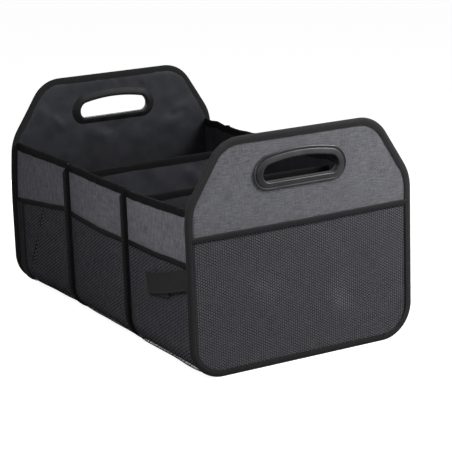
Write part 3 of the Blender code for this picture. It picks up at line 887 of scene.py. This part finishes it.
panelTape = {
    "profile": [  # inward from the outline and up off the panel's middle, in mm
        (10.7, 2.5), (9.7, 2.85), (7.2, 2.85), (4.6, 2.6), (2.4, 2.1), (1.0, 1.45), (0.25, 0.6),
        (0.25, -0.6), (1.0, -1.45), (2.4, -2.0), (4.6, -2.35), (7.2, -2.5), (9.7, -2.5), (10.7, -2.3)],
    "flatWidth": 0.0255,
    "thick": 0.0006,
    "pucker": 0.00018,
    "overNet": 0.0006,  # how much further the outer leg stands where it holds the net
}


# The lining's folds as its own side has them.
liningFolds = [(-a, b, -c, d, w, -2.4 * h) for a, b, c, d, w, h in rearLiningFolds]
for kind in ways:
    clothOnPanel(kind, "Cloth", 1, frontFaceFolds, 31, "heatherPanel", 0.0004, 0.0)
    clothOnPanel(kind, "Lining", -1, liningFolds, 41, "panelLining", 0.0008, 0.0014)
print("end panels' cloths made")


def bindPanel(kind, turned):
    # The tape's section swept along the panel's outline.
    shape = np.array(panelTape["profile"]) / 1000
    shapeLength, path = lengths(shape), lengths(panelSpots)

    def put(u, v):
        a, b = u * shapeLength[-1], v * path[-1]
        inward, up = pairAt(a, shapeLength, shape)
        (y, z), (outY, outZ) = pairAt(b, path, panelSpots), pairAt(b, path, panelOutward)
        y, z = y - inward * outY, z - inward * outZ
        overNet = panelTape["overNet"] * ease((0.220 - z) / 0.015) * ease(up / 0.002) * ease(inward / 0.004)
        pucker = panelTape["pucker"] * swell(b, inward, 0.02, 51) * ease(inward / 0.003)
        x = panel["middle"] + up + np.sign(up) * pucker + overNet
        return (x * turned, y * turned, z), (b, a)

    makeSheet(kind + "_panelTape", 22, 300, put, panelTape["thick"], "edgeTape" if turned > 0 else "rearTape",
              kind + "_panel_binding")


for kind, turned in ways.items():
    bindPanel(kind, turned)
print("end panels' bindings made")


# Hand-hole rings

ringShape = {
    "outer": [  # share of the way from the hole to the flange's edge, then height in mm
        (0.0, 0.5), (0.0, 2.0), (0.012, 2.7), (0.05, 3.3), (0.10, 3.5), (0.16, 3.4), (0.40, 2.85),
        (0.58, 2.35), (0.655, 2.0), (0.675, 1.3), (0.68, 0.85), (0.70, 0.7), (0.80, 1.05), (0.91, 1.5),
        (0.955, 1.55), (0.985, 1.25), (1.0, 0.7), (1.0, 0.1), (0.9, 0.05), (0.02, 0.05)],
    "inner": [
        (-0.045, -7.0), (-0.05, -3.0), (-0.05, 1.4), (-0.03, 2.1), (0.02, 2.6), (0.10, 2.9), (0.20, 2.95),
        (0.34, 2.75), (0.52, 2.2), (0.70, 1.5), (0.85, 0.85), (0.95, 0.4), (1.0, 0.15), (1.0, 0.05),
        (0.10, 0.05)],
    "outerFace": 0.29965,  # x that the heights count from, in metres
    "innerFace": 0.29525,
    "thick": 0.0008,
}


def makeRing(kind, word, direction, finish):
    # Loops between the hole and the flange's edge, joined up and closed.
    turned, face = ways[kind], ringShape[word + "Face"]
    shape = np.array(ringShape[word])
    holeSpots, flangeSpots = holeOutline(kind), flangeOutline(kind)

    def put(u, v):
        share, up = pairAt(u * (len(shape) - 1), range(len(shape)), shape)
        at, steps = v * (len(holeSpots) - 1), range(len(holeSpots))
        inner, outer = pairAt(at, steps, holeSpots), pairAt(at, steps, flangeSpots)
        y, z = (inner[k] + (outer[k] - inner[k]) * share for k in (0, 1))
        return ((face + up / 1000 * direction) * turned, y * turned, z), (y, z)

    obj = layGrid("%s_%sRing" % (kind, word), (len(shape) - 1) * 2, len(holeSpots) - 1, put)
    thicken(obj, ringShape["thick"])
    finishPiece(obj, finish, ["%s_handle_%s_ring" % (kind, word)], 35)


for kind in ways:
    makeRing(kind, "outer", 1, "ringPlastic")
    makeRing(kind, "inner", -1, "ringInside")
print("hand-hole rings made")


# Honeycomb net

net = {
    "panelPitch": 0.00415,  # between holes
    "sidePitch": 0.0052,
    "strand": 0.26,  # its width as a share of the pitch
    "thick": 0.0005,
    "cover": 0.44,  # share of the cut that is yarn
    "hem": 0.0085,  # how far the panel net stays inside the outline
    "underBand": 0.004,  # how far the nets end below the bands' upper edges
    "underSideBand": 0.005,
    "panelReach": 0.2105,  # height of the net before its cut
    "sideReach": 0.170,
    "sideEnd": 0.001,
    "panelFlat": (0.357, 0.199),
}


def makeNet(name, pitch, width, height, keep, place, finish, replaced):
    # A sheet of triangles whose corners are cut off, which leaves a honeycomb.
    side = pitch * math.sqrt(3)
    row = side * math.sqrt(3) / 2
    columns, rows = math.ceil(width / side) + 2, math.ceil(height / row) + 1
    obj = addMesh("grid", name, x_subdivisions=columns, y_subdivisions=rows, size=1)
    flat = readPoints(obj) + 0.5
    columnAt, rowAt = np.round(flat[:, 0] * columns), np.round(flat[:, 1] * rows)
    flat[:, 0] = (columnAt - 1 + 0.5 * (rowAt % 2)) * side
    flat[:, 1] = (rowAt - 0.5) * row
    flat[:, 2] = 0
    writePoints(obj, flat)
    useOnly(obj)
    openMesh()
    bpy.ops.mesh.quads_convert_to_tris(quad_method="SHORTEST_DIAGONAL")
    bpy.ops.mesh.bevel(offset_type="PERCENT", offset_pct=33.333, affect="VERTICES")
    bpy.ops.mesh.select_all(action="DESELECT")
    shutMesh()
    centres = np.zeros(len(obj.data.polygons) * 3)
    obj.data.polygons.foreach_get("center", centres)
    centres = centres.reshape(-1, 3)
    drop = ~keep(centres[:, 0], centres[:, 1])
    obj.data.vertices.foreach_set("select", np.zeros(len(obj.data.vertices), dtype=bool))
    obj.data.edges.foreach_set("select", np.zeros(len(obj.data.edges), dtype=bool))
    obj.data.polygons.foreach_set("select", drop)
    bpy.ops.object.mode_set(mode="EDIT")
    bpy.ops.mesh.select_mode(type="FACE")
    bpy.ops.mesh.delete(type="FACE")
    bpy.ops.mesh.select_mode(type="VERT")
    shutMesh()
    useModifier(obj, "WIREFRAME", thickness=net["strand"] * pitch, offset=0.0, use_even_offset=False,
                use_boundary=True, use_replace=True)
    spots = readPoints(obj)
    lift = spots[:, 2] / np.abs(spots[:, 2]).max() * net["thick"] / 2
    writePoints(obj, np.stack(place(spots[:, 0], spots[:, 1], lift), 1))
    closeUp(obj)
    return finishPiece(obj, finish, replaced, 70)


netBulge = {
    "panel": 0.00265,  # the panel net's middle, out from the panel's middle
    "clearOfFoot": {"rear": 0.0004, "middle": 0.0006, "front": 0.0020},
}
pocketTops = {  # upper edge of each pocket along the bag or panel, in mm
    "front": [(-187, 207.4), (0, 207.5), (187, 209.6)],
    ("rear", -1): [(-294, 150.6), (-277, 151.6), (-240, 156.0), (-182, 161.2), (-129, 167.6), (-101, 168.0)],
    ("middle", -1): [(-97, 166.2), (-50, 163.5), (0, 161.5), (50, 161.0), (97, 162.0)],
    ("front", -1): [(101, 163.4), (140, 163.6), (188, 164.6), (230, 166.0), (276, 167.6), (294, 168.4)],
    ("rear", 1): [(-294, 168.0), (-240, 165.6), (-180, 164.0), (-101, 163.5)],
    ("middle", 1): [(-97, 162.5), (0, 161.5), (97, 165.5)],
    ("front", 1): [(101, 167.5), (150, 163.0), (220, 158.5), (294, 151.0)],
}


def panelNet(kind):
    turned, half = ways[kind], panel["half"]

    def keep(a, b):
        y, z = a - half, b
        inside = edgeDistance(y, z) > net["hem"]
        return inside & (z < heightAt(y, pocketTops["front"]) - net["underBand"])

    def place(a, b, lift):
        y, z = a - half, b
        x = panel["middle"] + netBulge["panel"] + 0.0003 * swell(y, z, 0.09, 61) + lift
        return x * turned, y * turned, z

    return makeNet(kind + "_panelNet", net["panelPitch"], 2 * half, net["panelReach"], keep, place, "netYarn",
                   [kind + "_mesh_pocket"])


bands = {
    "panelHeight": 0.0082,
    "sideHeight": 0.0078,
    "panelInset": 0.0088,  # from the panel's sides
    "panelOut": 0.0031,  # off the panel's middle
    "sideOut": 0.0015,  # off the wall
    "bulge": 0.0006,
    "thick": 0.0009,
}


def bulgeAt(u):
    return bands["bulge"] * np.sin(u * math.pi) ** 0.7


def panelBand(kind):
    turned, half = ways[kind], panel["half"] - bands["panelInset"]

    def put(u, v):
        y = (2 * v - 1) * half
        z = heightAt(y, pocketTops["front"]) - bands["panelHeight"] * (1 - u)
        x = panel["middle"] + bands["panelOut"] + bulgeAt(u) + 0.0001 * swell(y, z, 0.012, 71)
        return (x * turned, y * turned, z), (y, u * bands["panelHeight"])

    return makeSheet(kind + "_panelBand", 10, 160, put, bands["thick"], "elasticBand", kind + "_pocket_band")


for kind in ways:
    panelNet(kind)
    panelBand(kind)
print("end panels' pockets made")


# Shell and lining of each section

section = {
    "shell": 0.0008,
    "lining": 0.0006,
    "liningIn": 0.0014,  # middle of the lining, in from the shell's face
    "step": 0.0062,
    "topDrop": 0.0012,  # how far below the binding's crest the cloths end
    "seam": 0.0016,  # how far short of an end panel's middle they end
    "flatTop": 0.239,  # the walls' mean height
    "gridTop": 0.235,  # the height that the steps down a wall are counted from
}
sections = {  # ends of each section along the bag
    kind: (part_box(kind + "_section_shell")[0].x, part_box(kind + "_section_shell")[1].x)
    for kind in ("rear", "middle", "front")
}


def sectionSheet(kind, word, out, thick, extraGive, finish):
    seam = panel["middle"] - section["seam"]
    low, high = sections[kind]
    low, high = (-seam if kind == "rear" else low), (seam if kind == "front" else high)
    across = round((high - low) / section["step"])
    along = round(2 * runAt(section["gridTop"]) / section["step"])

    def put(u, v):
        x = low + (high - low) * u
        share = 2 * v - 1
        left, right = (wallTopAt(x, side) - section["topDrop"] for side in (-1, 1))
        run = share * np.where(share < 0, runAt(left), runAt(right))
        y, z = tubPoint(run, out + wallGive(x, run) + extraGive(x, run))
        return (x, y, z), (x, run)

    makeSheet("%s_%sCloth" % (kind, word), across, along, put, thick, finish, "%s_section_%s" % (kind, word))


rightWallFolds = [  # from x, run to x, run, then width and height inward, all in mm
    (-262, 250, -260, 430, 5, -0.6), (-251, 230, -250, 420, 5.5, 2.6), (-236, 240, -237, 430, 4, -1.0),
    (-226, 260, -224, 420, 4, 1.6), (-212, 260, -210, 430, 5, -0.8), (-190, 250, -196, 410, 9, 1.2),
]


def liningCrush(x, run):
    up = ease((np.abs(run) - 0.15) / 0.05)
    inward = 0.5 + 0.5 * swell(x, run * 0.3, 0.05, 81)
    crush = -0.0012 * inward * up * ease((0.33 - np.abs(run)) / 0.03 + 0.6)
    return crush - np.maximum(folds(x, run, rightWallFolds), -0.0004)


for kind in sections:
    sectionSheet(kind, "shell", -section["shell"] / 2, section["shell"], lambda x, run: 0.0, "heatherWall")
    sectionSheet(kind, "lining", -section["liningIn"], section["lining"], liningCrush, "coatedLining")
print("sections' shells and linings made")


# Bindings along the tops of the walls

topTape = {
    "profile": [  # out from the wall's face and up from its top, in mm
        (1.0, -11.6), (1.25, -10.4), (1.2, -5), (1.1, -2), (0.6, -0.5), (-0.85, -0.1), (-2.3, -0.5),
        (-2.8, -2), (-2.9, -5), (-2.9, -10.4), (-2.7, -11.6)],
    "endGap": 0.0004,
    "thick": 0.0006,
}


def wallTape(kind, side):
    name = kind + "_" + sideWords[side]
    low, high = (corner.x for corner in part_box(name + "_top_binding"))
    low = low if kind != "rear" else -tub["end"] + topTape["endGap"]
    high = high if kind != "front" else tub["end"] - topTape["endGap"]
    shape = np.array(topTape["profile"]) / 1000
    along = lengths(shape)

    def put(u, v):
        x = low + (high - low) * v
        out, up = pairAt(u * along[-1], along, shape)
        top = wallTopAt(x, side) + 0.0005 * swell(x, x * 0, 0.03, 91)
        run = side * runAt(top + up)
        pucker = 0.00040 * swell(x, u * 0.01, 0.018, 92) * np.sign(out + 0.00085)
        y, z = tubPoint(run, out + wallGive(x, side * runAt(top)) + pucker)
        return (x, y, z), (x, u * along[-1])

    makeSheet(name + "_wallTape", 22, round((high - low) / 0.0035), put, topTape["thick"], "innerTape",
              name + "_top_binding")


for kind in sections:
    for side in sideWords:
        wallTape(kind, side)
print("walls' top bindings made")


# Side pockets

sideNet = {
    "out": 0.00075,
    "low": 0.1190,  # run at which the net is sewn under the base
}


def netGive(x, run, kind):
    # The net hangs a little clear of the foot, and creases where it is slack.
    far = np.abs(run)
    past = far - tub["flat"]
    at = past / tub["arc"]
    offFloor = ease(past / 0.03)  # nothing sags under the base, which stands on the floor
    clear = netBulge["clearOfFoot"][kind] * np.exp(-((at - 0.75) / 0.9) ** 2) * offFloor
    slack = 0.0005 * (1 + swell(x, run, 0.07, 101)) * ease((0.34 - far) / 0.06) * offFloor
    low, high = sections[kind]
    ends = ease((x - low) / 0.02) * ease((high - x) / 0.02)
    return (clear + slack) * ends


def pleat(x, z):
    return folds(x, z, [(-196, 156, -214, 104, 2.6, 3.6), (-212, 114, -257, 24, 3.0, 4.0),
                        (-204, 154, -222, 104, 3.0, -0.6), (-220, 112, -264, 26, 3.0, -0.6)])


def sidePocket(kind, side):
    name = kind + "_" + sideWords[side]
    low, high = (corner.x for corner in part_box(name + "_mesh_pocket"))

    def topAt(x):
        return heightAt(x, pocketTops[(kind, side)])

    def keep(a, b):
        x = a + low
        reach = runAt(topAt(x)) - sideNet["low"] - net["underSideBand"]
        return (b < reach) & (x > low + net["sideEnd"]) & (x < high - net["sideEnd"])

    def place(a, b, lift):
        x = a + low
        run = side * (b + sideNet["low"])
        give = wallGive(x, run) + netGive(x, run, kind)
        if (kind, side) == ("rear", -1):
            give = give + pleat(x, b + sideNet["low"] - runAt(0.0))
        y, z = tubPoint(run, sideNet["out"] + give + lift)
        return x, y, z

    pocket = makeNet(name + "_sideNet", net["sidePitch"], high - low,
                     runAt(net["sideReach"]) - sideNet["low"], keep, place, "sideYarn",
                     [name + "_mesh_pocket"])

    def put(u, v):
        x = low + 0.0004 + (high - low - 0.0008) * v
        z = topAt(x) - bands["sideHeight"] * (1 - u)
        run = side * runAt(z)
        give = wallGive(x, run) + 0.6 * netGive(x, run, kind) + bulgeAt(u)
        y, z = tubPoint(run, bands["sideOut"] + give)
        return (x, y, z), (x, u * bands["sideHeight"])

    band = makeSheet(name + "_sideBand", 10, round((high - low) / 0.0035), put, bands["thick"], "sideElastic",
                     name + "_pocket_band")


for kind in sections:
    for side in sideWords:
        sidePocket(kind, side)
print("side pockets made")


# Ribs where the walls meet the dividers

rib = {
    "top": 0.2385,
    "slopedTop": 0.2275,
    "shellRadius": 0.0385,  # of the foot's round, at the shell and at the fin's edge
    "finRadius": 0.052,
    "profile": [  # share of the way out to the fin's edge, then mm off its middle
        (0.0, 1.25), (0.55, 1.2), (0.88, 1.1), (0.965, 0.8), (0.985, 0.0), (0.965, -0.8), (0.88, -1.1),
        (0.55, -1.2), (0.0, -1.25)],
    "meanWidth": 0.016,  # of the tape laid flat, which is nearly nothing under the base
    "thick": 0.0005,
}


def makeRib(kind):
    middle = tub["rib"] * ways[kind]
    angles = np.linspace(0, math.pi / 2, 22)
    # The same directions on the shell's outline and on the fin's outer edge.
    inner, outer = rib["shellRadius"], rib["finRadius"]
    shellY = [0.0, 0.07] + list(0.138 + inner * np.sin(angles)) + [0.1765] * 2
    shellZ = [0.0015, 0.0015] + list(0.040 - inner * np.cos(angles)) + [0.14, rib["top"]]
    finY = [0.0, 0.07] + list(0.135 + outer * np.sin(angles)) + [0.187] * 2
    finZ = [0.0004] * 2 + list(0.0524 - outer * np.cos(angles)) + [0.13, rib["slopedTop"]]
    shell, fin = np.column_stack([shellY, shellZ]), np.column_stack([finY, finZ])
    path = lengths(fin)
    profile = np.array(rib["profile"])
    profileLength = lengths(profile * np.array([11.0, 1.0]))

    def put(u, v):
        share = 2 * v - 1
        at = np.abs(share) * path[-1]
        a = u * profileLength[-1]
        out, off = pairAt(a, profileLength, profile)
        inner, outer = pairAt(at, path, shell), pairAt(at, path, fin)
        y = (inner[0] + (outer[0] - inner[0]) * out) * np.where(share < 0, -1, 1)
        z = inner[1] + (outer[1] - inner[1]) * out
        wave = 0.0004 * swell(y, z, 0.06, 111) * out
        return (middle + off / 1000 + wave, y, z), (share * path[-1], a / 1000)

    makeSheet(kind + "_ribTape", 20, 200, put, rib["thick"], "ribTape", kind + "_rib_binding")


for kind in ways:
    makeRib(kind)
print("ribs made")


# Dividers

divider = {
    "half": 0.174,
    "foot": 0.0355,
    "low": 0.0045,
    "top": 0.2243,
    "topWave": 0.0007,
    "pinned": 0.2190,  # the plies are held still above this height
    "out": 0.0016,  # from the divider's middle to a ply's
    "flatHeight": 0.217,
    "thick": 0.0006,
    "tape": [(11.1, 2.05), (10.4, 2.45), (4, 2.4), (1.2, 2.1), (0.25, 1.2), (0.0, 0.0), (0.25, -1.2),
             (1.2, -2.1), (4, -2.4), (10.4, -2.45), (11.1, -2.05)],
}
dividerFolds = {
    "front_rear": [(-120, 190, -40, 150, 12, 0.8), (20, 200, 90, 140, 12, -0.8)],
    "front_front": [(-100, 180, -20, 110, 14, 0.9), (30, 190, 120, 150, 12, -0.9)],
    "rear_rear": [(-120, 190, -40, 150, 12, 0.8), (20, 200, 90, 140, 12, -0.8)],
    "rear_front": [
        (-60, 205, -20, 160, 10, -1.4), (20, 212, 60, 170, 10, 1.2), (80, 205, 140, 175, 11, -1.0)],
}


def dividerTopAt(y):
    return divider["top"] + divider["topWave"] * np.sin(y * 17 + 0.6)


def dividerPly(kind, faceWay, seed):
    # faceWay is 1 for the ply that faces the front of the bag.
    middle = tub["rib"] * ways[kind]
    word = "front" if faceWay > 0 else "rear"

    def put(u, v):
        z = divider["low"] + (dividerTopAt(0 * u) - 0.002 - divider["low"]) * v
        drop = np.clip(divider["low"] + divider["foot"] - z, 0, divider["foot"])
        half = divider["half"] - divider["foot"] + np.sqrt(np.maximum(divider["foot"] ** 2 - drop ** 2, 0))
        y = (2 * u - 1) * half
        give = 2.4 * folds(y, z, dividerFolds[kind + "_" + word]) + 0.0007 * (1 + swell(y, z, 0.09, seed))
        pinned = ease((divider["pinned"] - z) / 0.02) * ease((half - np.abs(y)) / 0.02)
        pinned = pinned * ease((z - 0.004) / 0.02)
        x = middle + faceWay * (divider["out"] + np.maximum(give, -0.0002) * pinned)
        return (x, y, z), (y, z)

    makeSheet(kind + "_divider_" + word + "Ply", 70, 44, put, divider["thick"], "coatedLining",
              kind + "_divider_" + word + "_ply")


def dividerTape(kind):
    middle = tub["rib"] * ways[kind]
    shape = np.array(divider["tape"]) / 1000
    along = lengths(shape)

    def put(u, v):
        y = (2 * v - 1) * divider["half"]
        down, off = pairAt(u * along[-1], along, shape)
        x = middle + off * (1 + 0.1 * swell(y, u * 0.01, 0.02, 121)) + 0.0005 * swell(y, y * 0, 0.12, 122)
        return (x, y, dividerTopAt(y) - down), (y, u * along[-1])

    makeSheet(kind + "_dividerTape", 20, 80, put, divider["thick"], "innerTape", kind + "_divider_binding")


for kind in ways:
    dividerPly(kind, 1, 131)
    dividerPly(kind, -1, 132)
    dividerTape(kind)
print("dividers made")


# Base boards, wrapped in the lining cloth

baseBoard = {
    "bevel": 0.0014,
    "steps": 3,
}


def makeBaseBoard(kind):
    low, high = (np.array(corner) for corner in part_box(kind + "_base_board"))
    obj = addMesh("cube", kind + "_baseBoard", size=1)
    flat = readPoints(obj) + 0.5
    writePoints(obj, low + flat * (high - low))
    useOnly(obj)
    openMesh()
    bpy.ops.mesh.bevel(offset=baseBoard["bevel"], segments=baseBoard["steps"], affect="EDGES")
    shutMesh()
    spots = readPoints(obj)
    writeCloth(obj, spots[:, :2])
    finishPiece(obj, "coatedLining", [kind + "_base_board"], 30)


for kind in sections:
    makeBaseBoard(kind)
print("base boards made")


# Closing straps and loop strips

strap = {
    "width": 0.030,
    "thick": 0.0012,
    "inner": 0.1787,  # y of the strap's inner face
    "line": [(294.0, 146.5), (284.0, 144.8), (262.0, 138.5), (230.0, 128.5), (196.0, 119.6), (164.0, 112.6)],
    "foldedBack": 0.064,
    "loop": 0.0020,  # how far apart the two layers are at the fold
    "hang": 0.0070,  # how far the free end has slipped down behind
    "tilt": 9.0,  # degrees
}
loopStrip = {"from": -0.2928, "width": 0.0170, "foot": 0.004, "out": 0.0026, "thick": 0.0011}


def makeStrap(side):
    # Sewn in at one end, out along the wall, then folded back behind itself.
    turned, word = -side, sideWords[side]
    line = np.array(strap["line"]) / 1000
    reach = lengths(line)
    first = np.stack(pairAt(np.linspace(0, reach[-1], 60), reach, line), 1)
    back = first[::-1]
    backReach = lengths(back)
    back = back[backReach < strap["foldedBack"]]
    off = strap["loop"] * ease(lengths(first) / 0.05) + 0.0003 * np.sin(np.linspace(0, 5, len(first)))
    share = np.linspace(0, 1, len(back))
    offBack = 0.0002 * share
    back = back - np.stack([share * 0, ease(share) * strap["hang"]], 1)
    turn = np.linspace(-math.pi / 2, math.pi / 2, 9)[1:-1]
    nose = first[-1] - np.stack([np.cos(turn) * strap["loop"] / 2, turn * 0], 1)
    noseOff = off[-1] * (1 - np.sin(turn)) / 2
    points = np.vstack([first, nose, back])
    offs = np.concatenate([off, noseOff, offBack])
    path = lengths(np.column_stack([points, offs]))
    tilt = math.radians(strap["tilt"])

    def put(u, v):
        at = v * path[-1]
        x, z = pairAt(at, path, points)
        across = (u - 0.5) * strap["width"]
        x = x - across * math.sin(tilt)
        z = z + across * math.cos(tilt)
        curl = 0.0008 * (2 * u - 1) ** 2 * ease((at - 0.03) / 0.05) * ease((reach[-1] + 0.01 - at) / 0.01)
        y = strap["inner"] + np.interp(at, path, offs) + curl
        return (x * turned, -y * turned, z), (at, u * strap["width"])

    makeSheet(word + "_closingStrap", 12, 150, put, strap["thick"], "strapWebbing", word + "_closing_strap")


def makeLoopStrip(side):
    turned, word = -side, sideWords[side]
    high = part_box("left_loop_strip")[1]
    bottom, top = runAt(0.0) + loopStrip["foot"], runAt(high.z)

    def put(u, v):
        x = loopStrip["from"] + loopStrip["width"] * u
        run = -(bottom + (top - bottom) * v)
        y, z = tubPoint(run, loopStrip["out"] + wallGive(x, run))
        return (x * turned, y * turned, z), (-run, u * loopStrip["width"])

    makeSheet(word + "_loopStrip", 8, 60, put, loopStrip["thick"], "loopPile", word + "_loop_strip")


for side in sideWords:
    makeStrap(side)
    makeLoopStrip(side)
print("straps and loop strips made")


# The stiffening boards keep their own solids

for name in ("front_panel_board", "rear_panel_board", "front_divider_board", "rear_divider_board"):
    board = bpy.data.objects[name]
    board.data.materials.clear()
    board.data.materials.append(look["stiffBoard"])
print("boards finished")
